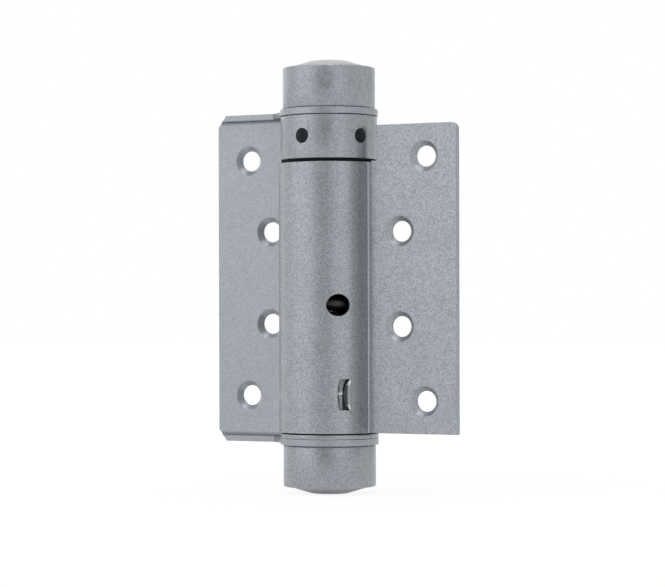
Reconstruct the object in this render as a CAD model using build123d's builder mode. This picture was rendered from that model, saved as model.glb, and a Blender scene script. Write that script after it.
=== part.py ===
from build123d import *
from math import acos, atan2, cos, degrees, hypot, pi, radians, sin, sqrt
import os

os.makedirs("parts", exist_ok=True)

# A single action spring hinge, opened flat, in millimetres.
# The spindle axis is the Z axis, and the origin lies on it at mid height of the frame leaf.
# The frame leaf reaches towards -X, the door leaf towards +X, and the screw heads face -Y.
# Angles round the spindle are counted from -Y towards +X.

# Fits
running_fit = 0.05  # radial, between a piece that turns and what carries it
push_fit = 0.02  # radial, between pieces that stay together
bolt_clearance = 0.1  # radial, round the threaded ends of the spindle
seat_gap = 0.1  # between faces that slide past each other
over_cut = 2.0  # how far a cut runs on into the open, past what it cuts

# Sheet steel of both leaves
sheet = 2.0
fold_inside = 0.4  # inside radius of the folded ears
outline_round = 0.5  # rolled-over edge of the pressed ears

# Frame leaf
frame_height = 102.0  # over both ears
frame_reach = 42.3  # spindle axis to the free edge
frame_face = 5.3  # spindle axis back to the plate's front face
ear_radius = 15.0
ear_lip = 1.3  # how far the ear stands in front of the plate
ear_corner_width = 3.0
ear_corner_drop = 3.5
neck_start = 21.8  # where the ear starts to widen towards its ring
neck_end = 2.5  # how far in front of the axis the neck meets the ring
neck_fillet = 3.0
plate_gap = 0.95  # plate edge to the barrel
fold_relief = 0.5  # cut in front of the plate, where the fold ends

# Door leaf
door_height = 92.9
door_reach = 44.2  # spindle axis to the free edge
door_face = 2.6  # spindle axis forward to the plate's front face
door_corner = 2.0
barrel_radius = 15.35
root_bend = 2.0  # radius at mid sheet, where the plate runs into the barrel
seam_gap = 0.2  # free end of the rolled barrel to the plate
barrel_clearance = 1.0  # barrel to collar
notch_clearance = 2.65  # plate to collar

# Screw holes, two rows of two in each leaf
screw_hole = 6.2
screw_head = 9.2
screw_angle = 90.0
outer_spacing = 73.3
inner_spacing = 28.6
frame_outer_edge = 11.1  # free edge to the outer row
frame_inner_edge = 7.4  # plate edge beside the barrel to the inner row
door_outer_edge = 10.7
door_inner_edge = 7.9  # edge of the notch to the inner row

# Sight hole in the barrel, punched round before the sheet is rolled
sight_height = 6.65
sight_width = 7.1
sight_level = -8.6
sight_angle = 38.2

# Lanced tongue that locks the spring anchor in the barrel
lance_height = 9.2
lance_level = -35.5  # mid height
lance_cut_angle = 37.3
lance_root_angle = 52.9
lance_slit = 0.15
tongue_thickness = 1.5
tongue_bend = 0.2  # inside radius
tongue_clearance = 0.25  # tip to the coils

# Spindle, a rod with a threaded stub at each end
spindle_radius = 5.0
stub_radius = 4.0
stub_end = 1.4  # stands out of the nut
stub_chamfer = 0.6

# Tension collar with its holes for the tommy bar
collar_inset = 0.25  # from the ring of the ear
collar_height = 13.3
collar_edge = 0.4
spigot_length = 6.8
spigot_chamfer = 0.5
tommy_count = 5
tommy_hole = 4.5
tommy_level = 6.45  # below the collar's top face
tommy_depth = 7.0
tommy_first = -6.0
tommy_pitch = 75.0  # degrees from hole to hole

# Bushes of the collar and the anchor
bush_wall = 1.25
bush_flange = 0.8
bush_flange_width = 1.6

# Torsion spring
spring_wire = 4.5
spring_side_gap = 1.5  # coils to the barrel's bore
coil_gap = 0.3
tang_bend = 3.0  # at mid wire
tang_length = 4.0
tang_clearance = 0.4
tang_angle = 142.0  # where the lowest coil ends

# Spring anchor in the foot of the barrel
anchor_height = 11.75
anchor_proud = 0.3  # stands below the barrel, on the thrust washer
key_clearance = 0.25

# Thrust washer on the lower ear
washer_inset = 0.05  # from the ring of the ear
washer_height = 1.4
washer_edge = 0.3
barrel_lift = 0.4  # washer to barrel

# Caps over the spindle nuts, and the plugs that close them
cap_inset = 0.9  # from the ring of the ear
cap_height = 12.8
cap_wall = 1.5
cap_edge = 0.5
plug_rise = 2.1
plug_flat = 4.9
plug_wall = 1.2
plug_skirt = 2.5

# Nuts and spring lock washers
nut_across = 13.0
nut_height = 4.0
nut_chamfer = 0.5
lock_radius = 7.0
lock_height = 1.6
lock_split = 1.0


# Levels along the spindle
ear_top = frame_height / 2
ear_inside = ear_top - sheet
washer_top = -ear_inside + washer_height
barrel_bottom = washer_top + barrel_lift
door_middle = barrel_bottom + door_height / 2
collar_top = ear_inside - seat_gap
collar_bottom = collar_top - collar_height
barrel_top = collar_bottom - barrel_clearance
barrel_bore = barrel_radius - sheet
collar_radius = ear_radius - collar_inset
spring_radius = barrel_bore - spring_side_gap - spring_wire / 2
tongue_tip = barrel_bore - spring_side_gap + tongue_clearance


def spindle_point(angle, radius, level=0.0):
    """A point round the spindle, with its angle counted from -Y towards +X."""
    turn = radians(angle)
    return Vector(radius * sin(turn), -radius * cos(turn), level)


def radial_plane(angle, level):
    """A plane through the spindle that looks outwards, with its own Y along +Z."""
    return Plane(
        origin=(0, 0, level),
        x_dir=tuple(spindle_point(angle + 90, 1)),
        z_dir=tuple(spindle_point(angle, 1)),
    )


def section_plane(angle, level):
    """A level plane seen from below, with its own Y pointing outwards at the angle."""
    return Plane(origin=(0, 0, level), x_dir=tuple(spindle_point(angle + 90, 1)), z_dir=(0, 0, -1))


def screw_places(outer_x, inner_x, middle):
    """The four staggered screw holes of a leaf, as points across and up the plate."""
    return [
        (outer_x, middle + outer_spacing / 2),
        (outer_x, middle - outer_spacing / 2),
        (inner_x, middle + inner_spacing / 2),
        (inner_x, middle - inner_spacing / 2),
    ]


# Frame leaf: one sheet, with an ear folded forward at each end and a ring in each ear
plate_back = frame_face + sheet
plate_edge = -(barrel_radius + plate_gap)
ear_start = -frame_reach + ear_corner_width
ear_front = frame_face - ear_lip
neck_corner = Vector(-sqrt(ear_radius**2 - neck_end**2), -neck_end)
relief = Vector(plate_edge, frame_face - fold_relief)
relief_turn = degrees(atan2(relief.Y, relief.X)) - degrees(acos(ear_radius / hypot(relief.X, relief.Y)))
ring_touch = Vector(ear_radius * cos(radians(relief_turn)), ear_radius * sin(radians(relief_turn)))

with BuildPart() as frame_leaf:
    with BuildSketch(Plane.YZ.offset(-frame_reach)) as folded:
        with BuildLine():
            Polyline(
                (ear_front, ear_top),
                (plate_back, ear_top),
                (plate_back, -ear_top),
                (ear_front, -ear_top),
                (ear_front, -ear_inside),
                (frame_face, -ear_inside),
                (frame_face, ear_inside),
                (ear_front, ear_inside),
                close=True,
            )
        make_face()
        fillet(folded.vertices().group_by(Axis.X)[-1], fold_inside + sheet)
        fillet(folded.vertices().filter_by_position(Axis.X, frame_face, frame_face), fold_inside)
    extrude(amount=plate_edge + frame_reach)
    for side in (1, -1):
        with BuildSketch(Plane.XZ.offset(-frame_face)):
            with BuildLine():
                Polyline(
                    (-frame_reach, side * (ear_top - ear_corner_drop)),
                    (ear_start, side * ear_top),
                    (-frame_reach, side * ear_top),
                    close=True,
                )
            make_face()
        extrude(amount=sheet + over_cut, both=True, mode=Mode.SUBTRACT)
        with BuildSketch(Plane.XZ.offset(-frame_face)):
            with BuildLine():
                Polyline(
                    (-frame_reach, side * (ear_inside - fold_inside)),
                    (ear_start, side * (ear_inside - fold_inside)),
                    (ear_start, side * ear_top),
                    (-frame_reach, side * ear_top),
                    close=True,
                )
            make_face()
        extrude(amount=ear_lip + over_cut, mode=Mode.SUBTRACT)
    for ear_level in (ear_inside, -ear_top):
        with BuildSketch(Plane.XY.offset(ear_level)) as ear:
            with BuildLine():
                Polyline(
                    (-neck_start, ear_front),
                    (neck_corner.X, neck_corner.Y),
                    (0, 0),
                    (ring_touch.X, ring_touch.Y),
                    (relief.X, relief.Y),
                    (-neck_start, relief.Y),
                    close=True,
                )
            make_face()
            Circle(ear_radius)
            fillet(ear.vertices().sort_by_distance(neck_corner)[0], neck_fillet)
            Circle(stub_radius + bolt_clearance, mode=Mode.SUBTRACT)
        extrude(amount=sheet)
    with Locations(Plane.XZ.offset(-frame_face)):
        with Locations(*screw_places(-frame_reach + frame_outer_edge, plate_edge - frame_inner_edge, 0)):
            CounterSinkHole(screw_hole / 2, screw_head / 2, sheet + over_cut, screw_angle)
    for ear_face in (Axis.Z, -Axis.Z):
        ring_edges = frame_leaf.faces().sort_by(ear_face)[-1].edges().filter_by(GeomType.CIRCLE)
        fillet(ring_edges.filter_by(lambda edge: abs(edge.radius - ear_radius) < push_fit), outline_round)

frame_leaf.part.label = "frame_leaf"
export_step(frame_leaf.part, "parts/frame_leaf.step")


# Door leaf: one sheet, with its edge rolled into the barrel, so that the roll's free end
# comes round to the front face of the plate
plate_front = -door_face
plate_rear = -door_face + sheet
ring_middle = barrel_radius - sheet / 2
bend_y = plate_front + sheet / 2 + root_bend
bend_reach = ring_middle + root_bend
bend_x = sqrt(bend_reach**2 - bend_y**2)
bend_turn = degrees(atan2(bend_y, bend_x))
seam_reach = root_bend + sheet / 2 + seam_gap
seam_square = barrel_radius**2 + bend_reach**2 - seam_reach**2
roll_turn = 360 - degrees(acos(seam_square / (2 * barrel_radius * bend_reach)))
bend_centre = (bend_x, bend_y)
notch_edge = collar_radius + notch_clearance
notch_width = 2 * (barrel_radius + over_cut)

with BuildPart() as door_leaf:
    with BuildSketch(Plane.XY.offset(barrel_bottom)):
        with BuildLine():
            outside = CenterArc((0, 0), barrel_radius, bend_turn, roll_turn)
            inside = CenterArc((0, 0), barrel_bore, bend_turn, roll_turn)
            Line(outside @ 1, inside @ 1)
            root_rear = CenterArc(bend_centre, root_bend - sheet / 2, 180 + bend_turn, 90 - bend_turn)
            root_front = CenterArc(bend_centre, root_bend + sheet / 2, 180 + bend_turn, 90 - bend_turn)
            rear = Line(root_rear @ 1, (door_reach, plate_rear))
            front = Line(root_front @ 1, (door_reach, plate_front))
            Line(rear @ 1, front @ 1)
        make_face()
    extrude(amount=door_height)
    with BuildSketch(Plane.XY.offset(barrel_top)):
        with Locations((notch_edge, 0)):
            Rectangle(notch_edge + barrel_radius + over_cut, notch_width, align=(Align.MAX, Align.CENTER))
    extrude(amount=door_height, mode=Mode.SUBTRACT)
    free_corner = door_leaf.edges().filter_by(Axis.Y).group_by(Axis.X)[-1].sort_by(Axis.Z)[-1]
    fillet(free_corner, door_corner)
    door_screws = screw_places(door_reach - door_outer_edge, notch_edge + door_inner_edge, door_middle)
    with Locations(Plane.XZ.offset(door_face)):
        with Locations(*door_screws):
            CounterSinkHole(screw_hole / 2, screw_head / 2, sheet + over_cut, screw_angle)
    with BuildSketch(radial_plane(sight_angle, sight_level)):
        Ellipse(sight_width / 2, sight_height / 2)
    extrude(amount=barrel_radius + over_cut, mode=Mode.SUBTRACT)
    with BuildSketch(Plane.XY.offset(lance_level - lance_height / 2)):
        with BuildLine():
            cut_point = spindle_point(lance_cut_angle, barrel_radius + over_cut)
            root_point = spindle_point(lance_root_angle, barrel_radius + over_cut)
            Polyline((0, 0), (cut_point.X, cut_point.Y), (root_point.X, root_point.Y), close=True)
        make_face()
    extrude(amount=lance_height, mode=Mode.SUBTRACT)
    with BuildSketch(section_plane(lance_root_angle, lance_level + lance_height / 2 - lance_slit)):
        with BuildLine():
            tongue_outer = tongue_bend + tongue_thickness
            tongue_root = (0, barrel_radius - tongue_outer)
            bulge = CenterArc(tongue_root, tongue_outer, 90, 90)
            hollow = CenterArc(tongue_root, tongue_bend, 90, 90)
            Line(bulge @ 0, hollow @ 0)
            Polyline(bulge @ 1, (-tongue_outer, tongue_tip), (-tongue_bend, tongue_tip), hollow @ 1)
        make_face()
    extrude(amount=lance_height - 2 * lance_slit)

door_leaf.part.label = "door_leaf"
export_step(door_leaf.part, "parts/door_leaf.step")


# Spindle: a turned rod whose shoulders hold the ears apart
lock_bottom = ear_top + cap_wall
nut_bottom = lock_bottom + lock_height
stub_top = nut_bottom + nut_height + stub_end

with BuildPart() as spindle:
    with BuildSketch(Plane.XZ):
        with BuildLine():
            Polyline(
                (0, -stub_top),
                (stub_radius - stub_chamfer, -stub_top),
                (stub_radius, -stub_top + stub_chamfer),
                (stub_radius, -ear_inside),
                (spindle_radius, -ear_inside),
                (spindle_radius, ear_inside),
                (stub_radius, ear_inside),
                (stub_radius, stub_top - stub_chamfer),
                (stub_radius - stub_chamfer, stub_top),
                (0, stub_top),
                close=True,
            )
        make_face()
    revolve(axis=Axis.Z)

spindle.part.label = "spindle"
export_step(spindle.part, "parts/spindle.step")


# Levels and places of the spring, which fills the barrel from the anchor to the collar
anchor_bottom = barrel_bottom - anchor_proud
anchor_top = anchor_bottom + anchor_height
spigot_bottom = collar_bottom - spigot_length
spigot_radius = barrel_bore - running_fit
bush_radius = spindle_radius + running_fit + bush_wall
coil_pitch = spring_wire + coil_gap
coil_bottom = anchor_top + seat_gap + spring_wire / 2
coil_top = spigot_bottom - seat_gap - spring_wire / 2
coil_turns = (coil_top - coil_bottom) / coil_pitch
coil_slope = degrees(atan2(coil_pitch, 2 * pi * spring_radius))
top_angle = tang_angle - 360 * coil_turns

# A tang leaves its coil along the tangent and bends until it is level with the spindle
tang_offset = tang_bend * (1 - sin(radians(coil_slope)))
tang_radius = hypot(spring_radius, tang_offset)
tang_turn = degrees(atan2(tang_offset, spring_radius))
tang_drop = tang_bend * cos(radians(coil_slope)) + tang_length
tang_hole_radius = spring_wire / 2 + tang_clearance
tang_hole_depth = tang_drop - spring_wire / 2 - seat_gap + tang_clearance


def bush(bottom, top, flange_bottom):
    """A plain bush round the spindle, with a flange that starts at the given level."""
    with BuildPart() as made:
        with BuildSketch(Plane.XY.offset(bottom)):
            Circle(bush_radius)
            Circle(spindle_radius + running_fit, mode=Mode.SUBTRACT)
        extrude(amount=top - bottom)
        with BuildSketch(Plane.XY.offset(flange_bottom)):
            Circle(bush_radius + bush_flange_width)
            Circle(bush_radius, mode=Mode.SUBTRACT)
        extrude(amount=bush_flange)
    return made.part


# Tension collar: a turned ring that shows above the barrel, with a spigot that turns in it
bush_seat = bush_radius + push_fit
flange_seat = bush_seat + bush_flange_width

with BuildPart() as tension_collar:
    with BuildSketch(Plane.XZ):
        with BuildLine():
            Polyline(
                (bush_seat, spigot_bottom),
                (spigot_radius - spigot_chamfer, spigot_bottom),
                (spigot_radius, spigot_bottom + spigot_chamfer),
                (spigot_radius, collar_bottom),
                (collar_radius - collar_edge, collar_bottom),
                (collar_radius, collar_bottom + collar_edge),
                (collar_radius, collar_top - collar_edge),
                (collar_radius - collar_edge, collar_top),
                (flange_seat, collar_top),
                (flange_seat, collar_top - bush_flange),
                (bush_seat, collar_top - bush_flange),
                close=True,
            )
        make_face()
    revolve(axis=Axis.Z)
    for number in range(tommy_count):
        tommy_plane = radial_plane(tommy_first + tommy_pitch * number, collar_top - tommy_level)
        with BuildSketch(tommy_plane.offset(collar_radius - tommy_depth)):
            Circle(tommy_hole / 2)
        extrude(amount=tommy_depth + over_cut, mode=Mode.SUBTRACT)
    with BuildSketch(Plane.XY.offset(spigot_bottom)):
        with Locations(spindle_point(top_angle - tang_turn, tang_radius)):
            Circle(tang_hole_radius)
    extrude(amount=tang_hole_depth, mode=Mode.SUBTRACT)

tension_collar.part.label = "tension_collar"
export_step(tension_collar.part, "parts/tension_collar.step")

collar_bush = bush(spigot_bottom, collar_top, collar_top - bush_flange)
collar_bush.label = "collar_bush"
export_step(collar_bush, "parts/collar_bush.step")


# Torsion spring: close-wound left-hand coils, with a tang down into the anchor and one up
# into the collar
with BuildPart() as torsion_spring:
    with BuildLine() as coils:
        from_x = Helix(
            coil_pitch,
            coil_top - coil_bottom,
            spring_radius,
            center=(0, 0, coil_bottom),
            lefthand=True,
            mode=Mode.PRIVATE,
        )
        add(from_x.rotate(Axis.Z, tang_angle - 90))
    with BuildSketch(Plane(origin=coils.line @ 0, z_dir=coils.line % 0)):
        Circle(spring_wire / 2)
    sweep(path=coils.line)
    for end_angle, level, way in ((tang_angle, coil_bottom, -1), (top_angle, coil_top, 1)):
        coil_end = spindle_point(end_angle, spring_radius, level)
        along = spindle_point(end_angle - 90 * way, 1)
        upright = Vector(0, 0, way)
        inward = upright * cos(radians(coil_slope)) - along * sin(radians(coil_slope))
        bend_middle = coil_end + inward * tang_bend
        halfway = radians(45 + coil_slope / 2)
        with BuildLine() as tang:
            ThreePointArc(
                coil_end,
                bend_middle + (along * sin(halfway) - upright * cos(halfway)) * tang_bend,
                bend_middle + along * tang_bend,
            )
            Line(bend_middle + along * tang_bend, bend_middle + along * tang_bend + upright * tang_length)
        with BuildSketch(Plane(origin=coil_end, z_dir=tang.line % 0)):
            Circle(spring_wire / 2)
        sweep(path=tang.line)

torsion_spring.part.label = "torsion_spring"
export_step(torsion_spring.part, "parts/torsion_spring.step")


# Spring anchor: a plug pressed into the foot of the barrel, keyed to it by the lanced tongue
anchor_radius = barrel_bore - push_fit

with BuildPart() as spring_anchor:
    with BuildSketch(Plane.XZ):
        with BuildLine():
            Polyline(
                (flange_seat, anchor_bottom),
                (anchor_radius - spigot_chamfer, anchor_bottom),
                (anchor_radius, anchor_bottom + spigot_chamfer),
                (anchor_radius, anchor_top - spigot_chamfer),
                (anchor_radius - spigot_chamfer, anchor_top),
                (bush_seat, anchor_top),
                (bush_seat, anchor_bottom + bush_flange),
                (flange_seat, anchor_bottom + bush_flange),
                close=True,
            )
        make_face()
    revolve(axis=Axis.Z)
    key_bottom = lance_level - lance_height / 2 - key_clearance
    key_left = tongue_bend + tongue_thickness + key_clearance
    with BuildSketch(radial_plane(lance_root_angle, key_bottom).offset(tongue_tip - key_clearance)):
        with Locations((-key_left, 0)):
            Rectangle(key_left + key_clearance, anchor_height, align=(Align.MIN, Align.MIN))
    extrude(amount=anchor_radius, mode=Mode.SUBTRACT)
    with BuildSketch(Plane.XY.offset(anchor_top)):
        with Locations(spindle_point(tang_angle + tang_turn, tang_radius)):
            Circle(tang_hole_radius)
    extrude(amount=-tang_hole_depth, mode=Mode.SUBTRACT)

spring_anchor.part.label = "spring_anchor"
export_step(spring_anchor.part, "parts/spring_anchor.step")

anchor_bush = bush(anchor_bottom, anchor_top, anchor_bottom)
anchor_bush.label = "anchor_bush"
export_step(anchor_bush, "parts/anchor_bush.step")


# Thrust washer: a flat ring on the lower ear that carries the weight of the door leaf
with BuildPart() as thrust_washer:
    with BuildSketch(Plane.XY.offset(-ear_inside)):
        Circle(ear_radius - washer_inset)
        Circle(spindle_radius + push_fit, mode=Mode.SUBTRACT)
    extrude(amount=washer_height)
    rim_edges = thrust_washer.edges().filter_by(GeomType.CIRCLE).sort_by(SortBy.RADIUS)[-2:]
    fillet(rim_edges, washer_edge)

thrust_washer.part.label = "thrust_washer"
export_step(thrust_washer.part, "parts/thrust_washer.step")


# Cap: a drawn cup that stands on the ear, with the spindle nut clamping its floor
cap_top = ear_top + cap_height
cap_radius = ear_radius - cap_inset

with BuildPart() as top_cap:
    with BuildSketch(Plane.XZ) as cap_section:
        with BuildLine():
            Polyline(
                (stub_radius + bolt_clearance, ear_top),
                (cap_radius, ear_top),
                (cap_radius, cap_top),
                (cap_radius - cap_wall, cap_top),
                (cap_radius - cap_wall, ear_top + cap_wall),
                (stub_radius + bolt_clearance, ear_top + cap_wall),
                close=True,
            )
        make_face()
        floor_point = (cap_radius - cap_wall, ear_top + cap_wall)
        floor_corner = cap_section.vertices().sort_by_distance(floor_point)[0]
        outer_corners = cap_section.vertices().filter_by_position(Axis.X, cap_radius, cap_radius)
        fillet(outer_corners, cap_edge)
        fillet(floor_corner, cap_edge)
    revolve(axis=Axis.Z)

# Spring lock washer: a split ring under the nut
with BuildPart() as top_lock_washer:
    with BuildSketch(Plane.XY.offset(lock_bottom)):
        Circle(lock_radius)
        Circle(stub_radius + bolt_clearance, mode=Mode.SUBTRACT)
        Rectangle(lock_split, lock_radius, align=(Align.CENTER, Align.MIN), mode=Mode.SUBTRACT)
    extrude(amount=lock_height)

# Nut: a thin hexagon nut with its corners turned off
nut_corner = nut_across / sqrt(3)

with BuildPart() as top_nut:
    with BuildSketch(Plane.XY.offset(nut_bottom)):
        RegularPolygon(nut_corner, 6)
        Circle(stub_radius + push_fit, mode=Mode.SUBTRACT)
    extrude(amount=nut_height)
    with BuildSketch(Plane.XZ):
        with BuildLine():
            Polyline(
                (0, nut_bottom),
                (nut_corner - nut_chamfer, nut_bottom),
                (nut_corner, nut_bottom + nut_chamfer),
                (nut_corner, nut_bottom + nut_height - nut_chamfer),
                (nut_corner - nut_chamfer, nut_bottom + nut_height),
                (0, nut_bottom + nut_height),
                close=True,
            )
        make_face()
    revolve(axis=Axis.Z, mode=Mode.INTERSECT)

# Plug: a moulded lid with a low cone on top and a skirt that grips the cap's mouth
plug_radius = cap_radius - cap_wall - push_fit
skirt_bottom = cap_top - plug_skirt

with BuildPart() as top_plug:
    with BuildSketch(Plane.XZ):
        with BuildLine():
            Polyline(
                (plug_radius, skirt_bottom),
                (plug_radius, cap_top),
                (plug_flat, cap_top + plug_rise),
                (0, cap_top + plug_rise),
                (0, cap_top + plug_rise - plug_wall),
                (plug_flat, cap_top + plug_rise - plug_wall),
                (plug_radius - plug_wall, cap_top - plug_wall),
                (plug_radius - plug_wall, skirt_bottom),
                close=True,
            )
        make_face()
    revolve(axis=Axis.Z)

end_pieces = {
    "cap": top_cap.part,
    "lock_washer": top_lock_washer.part,
    "nut": top_nut.part,
    "plug": top_plug.part,
}
for name, piece in end_pieces.items():
    lower_piece = mirror(piece, about=Plane.XY)
    piece.label = "top_" + name
    export_step(piece, f"parts/top_{name}.step")
    lower_piece.label = "bottom_" + name
    export_step(lower_piece, f"parts/bottom_{name}.step")
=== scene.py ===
from math import acos, atan2, cos, degrees, pi, radians, sin, sqrt

import bmesh
import bpy
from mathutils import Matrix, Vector


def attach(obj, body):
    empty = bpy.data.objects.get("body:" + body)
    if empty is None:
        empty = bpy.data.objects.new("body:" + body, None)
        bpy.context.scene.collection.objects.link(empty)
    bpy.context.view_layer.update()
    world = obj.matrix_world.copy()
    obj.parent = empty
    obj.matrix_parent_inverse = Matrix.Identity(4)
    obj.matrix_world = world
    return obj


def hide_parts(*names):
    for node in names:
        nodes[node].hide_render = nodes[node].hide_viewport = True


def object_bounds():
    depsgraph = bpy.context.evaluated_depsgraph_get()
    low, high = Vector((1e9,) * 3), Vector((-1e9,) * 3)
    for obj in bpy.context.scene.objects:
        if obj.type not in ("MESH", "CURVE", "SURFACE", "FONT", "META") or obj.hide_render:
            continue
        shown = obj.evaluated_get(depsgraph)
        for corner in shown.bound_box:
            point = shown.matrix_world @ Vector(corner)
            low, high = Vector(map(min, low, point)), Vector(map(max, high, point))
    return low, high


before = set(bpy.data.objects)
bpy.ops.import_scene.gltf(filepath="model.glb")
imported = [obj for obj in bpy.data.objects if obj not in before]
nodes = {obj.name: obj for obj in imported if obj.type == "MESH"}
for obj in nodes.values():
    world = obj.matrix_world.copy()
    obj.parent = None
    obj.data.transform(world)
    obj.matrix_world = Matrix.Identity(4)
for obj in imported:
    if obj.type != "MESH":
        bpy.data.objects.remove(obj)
solid_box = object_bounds()


# Camera: level with the hinge, a little to the right of its face, with a long lens.
# The spindle stands on the Z axis, and the screw heads look towards -Y.
camera_turn = radians(28)
camera_distance = 0.764
camera_level = -0.0102
camera_aside = 0.00095
camera_roll = radians(0.15)
towards_camera = Vector((sin(camera_turn), -cos(camera_turn), 0))
right_of_camera = Vector((cos(camera_turn), sin(camera_turn), 0))
camera_place = towards_camera * camera_distance + right_of_camera * camera_aside
bpy.ops.object.select_all(action="DESELECT")
bpy.ops.object.camera_add(
    location=(camera_place.x, camera_place.y, camera_level),
    rotation=(radians(90), camera_roll, camera_turn),
)
camera = bpy.context.object
camera.data.sensor_width = 36
camera.data.lens = 135.4
camera.data.shift_y = 0.0256
bpy.context.scene.camera = camera
bpy.context.scene.view_settings.view_transform = "Standard"


# Studio: a white room with a dark gap round the camera, greyer walls on the right
# and behind, and a bright one on the left. They draw the soft lines down the turned pieces.
white = (1, 1, 1, 1)
# Each patch: name, turn from -Y towards +X, how far off it is full and has ended, and tone
room_patches = [
    ("gap", 17, 5, 30, (0.33, 0.33, 0.34, 1)),
    ("right_wall", 93, 4, 38, (0.85, 0.85, 0.85, 1)),
    ("back_wall", 150, 4, 28, (0.80, 0.80, 0.80, 1)),
    ("left_wall", -140, 12, 44, (1.5, 1.5, 1.5, 1)),
]
room_strength = 0.62
mirror_strength = 1.0
patch_height = 0.6  # what is left of a direction's rise, so that the patches stand tall
studio = bpy.data.worlds.new("studio")
bpy.context.scene.world = studio
studio.use_nodes = True
sky = studio.node_tree
sky.nodes.clear()
sky_out = sky.nodes.new("ShaderNodeOutputWorld")
sky_seen = sky.nodes.new("ShaderNodeBackground")
sky_seen.inputs["Color"].default_value = white
sky_light = sky.nodes.new("ShaderNodeBackground")
sky_mirror = sky.nodes.new("ShaderNodeBackground")
sky_mirror.inputs["Strength"].default_value = mirror_strength
sky_light.inputs["Strength"].default_value = room_strength
sky_rays = sky.nodes.new("ShaderNodeLightPath")
sky_shiny = sky.nodes.new("ShaderNodeMath")
sky_shiny.operation = "MAXIMUM"
sky_mix_shiny = sky.nodes.new("ShaderNodeMixShader")
sky_mix_seen = sky.nodes.new("ShaderNodeMixShader")
sky_way = sky.nodes.new("ShaderNodeTexCoord")
sky_flat = sky.nodes.new("ShaderNodeVectorMath")
sky_flat.operation = "MULTIPLY"
sky_flat.inputs[1].default_value = (1, 1, patch_height)
sky_level = sky.nodes.new("ShaderNodeVectorMath")
sky_level.operation = "NORMALIZE"
sky.links.new(sky_way.outputs["Generated"], sky_flat.inputs[0])
sky.links.new(sky_flat.outputs["Vector"], sky_level.inputs[0])
room_colour = None
for name, turn, full, ended, tone in room_patches:
    patch_dot = sky.nodes.new("ShaderNodeVectorMath")
    patch_dot.operation = "DOT_PRODUCT"
    patch_dot.inputs[1].default_value = (sin(radians(turn)), -cos(radians(turn)), 0)
    patch_share = sky.nodes.new("ShaderNodeMapRange")
    patch_share.interpolation_type = "SMOOTHSTEP"
    patch_share.inputs["From Min"].default_value = cos(radians(ended))
    patch_share.inputs["From Max"].default_value = cos(radians(full))
    patch_mix = sky.nodes.new("ShaderNodeMix")
    patch_mix.name = name
    patch_mix.data_type = "RGBA"
    patch_mix.inputs["A"].default_value = white
    patch_mix.inputs["B"].default_value = tone
    sky.links.new(sky_level.outputs["Vector"], patch_dot.inputs[0])
    sky.links.new(patch_dot.outputs["Value"], patch_share.inputs["Value"])
    sky.links.new(patch_share.outputs["Result"], patch_mix.inputs["Factor"])
    if room_colour:
        sky.links.new(room_colour, patch_mix.inputs["A"])
    room_colour = patch_mix.outputs["Result"]
sky.links.new(room_colour, sky_light.inputs["Color"])
sky.links.new(room_colour, sky_mirror.inputs["Color"])
sky.links.new(sky_rays.outputs["Is Glossy Ray"], sky_shiny.inputs[0])
sky.links.new(sky_rays.outputs["Is Transmission Ray"], sky_shiny.inputs[1])
sky.links.new(sky_shiny.outputs["Value"], sky_mix_shiny.inputs["Fac"])
sky.links.new(sky_light.outputs["Background"], sky_mix_shiny.inputs[1])
sky.links.new(sky_mirror.outputs["Background"], sky_mix_shiny.inputs[2])
sky.links.new(sky_rays.outputs["Is Camera Ray"], sky_mix_seen.inputs["Fac"])
sky.links.new(sky_mix_shiny.outputs["Shader"], sky_mix_seen.inputs[1])
sky.links.new(sky_seen.outputs["Background"], sky_mix_seen.inputs[2])
sky.links.new(sky_mix_seen.outputs["Shader"], sky_out.inputs["Surface"])


def soft_box(name, turn, rise, distance, size, power):
    """A square lamp that looks at the hinge, at a turn from -Y towards +X and a rise above level."""
    place = Vector((sin(turn) * cos(rise), -cos(turn) * cos(rise), sin(rise))) * distance
    bpy.ops.object.light_add(type="AREA", location=place, rotation=(pi / 2 - rise, 0, turn))
    lamp = bpy.context.object
    lamp.name = name
    lamp.data.size = size
    lamp.data.energy = power


lamp_distance = 0.9
soft_box("key_light", radians(-36), radians(24), lamp_distance, size=0.9, power=1.0)
soft_box("fill_light", radians(52), radians(10), lamp_distance, size=0.6, power=0.25)
soft_box("top_light", radians(20), radians(78), lamp_distance, size=0.6, power=1.4)

# The camera sees the floor as white light that lets a little of its shadow through near the hinge
floor_level = solid_box[0].z
floor_size = 6
floor_white = 1.08
shadow_near = 0.12
shadow_far = 0.6
white_near = 0.82
bpy.ops.mesh.primitive_plane_add(size=floor_size, location=(0, 0, floor_level))
floor = bpy.context.object
floor.name = "floor"
bpy.ops.object.transform_apply(location=True, rotation=False, scale=False)
floor_paint = bpy.data.materials.new("floor_paint")
floor_paint.use_nodes = True
floor_nodes = floor_paint.node_tree.nodes
floor_links = floor_paint.node_tree.links
floor_nodes["Principled BSDF"].inputs["Base Color"].default_value = (0.86, 0.86, 0.86, 1)
floor_nodes["Principled BSDF"].inputs["Roughness"].default_value = 0.9
floor_nodes["Principled BSDF"].inputs["Specular IOR Level"].default_value = 0.0
floor_rays = floor_nodes.new("ShaderNodeLightPath")
floor_glow = floor_nodes.new("ShaderNodeEmission")
floor_glow.inputs["Color"].default_value = white
floor_glow.inputs["Strength"].default_value = floor_white
floor_seen = floor_nodes.new("ShaderNodeMath")
floor_seen.operation = "MAXIMUM"
floor_clear = floor_nodes.new("ShaderNodeMath")
floor_clear.operation = "MAXIMUM"
floor_place = floor_nodes.new("ShaderNodeTexCoord")
floor_reach = floor_nodes.new("ShaderNodeVectorMath")
floor_reach.operation = "LENGTH"
floor_fade = floor_nodes.new("ShaderNodeMapRange")
floor_fade.inputs["From Min"].default_value = shadow_near
floor_fade.inputs["From Max"].default_value = shadow_far
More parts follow.
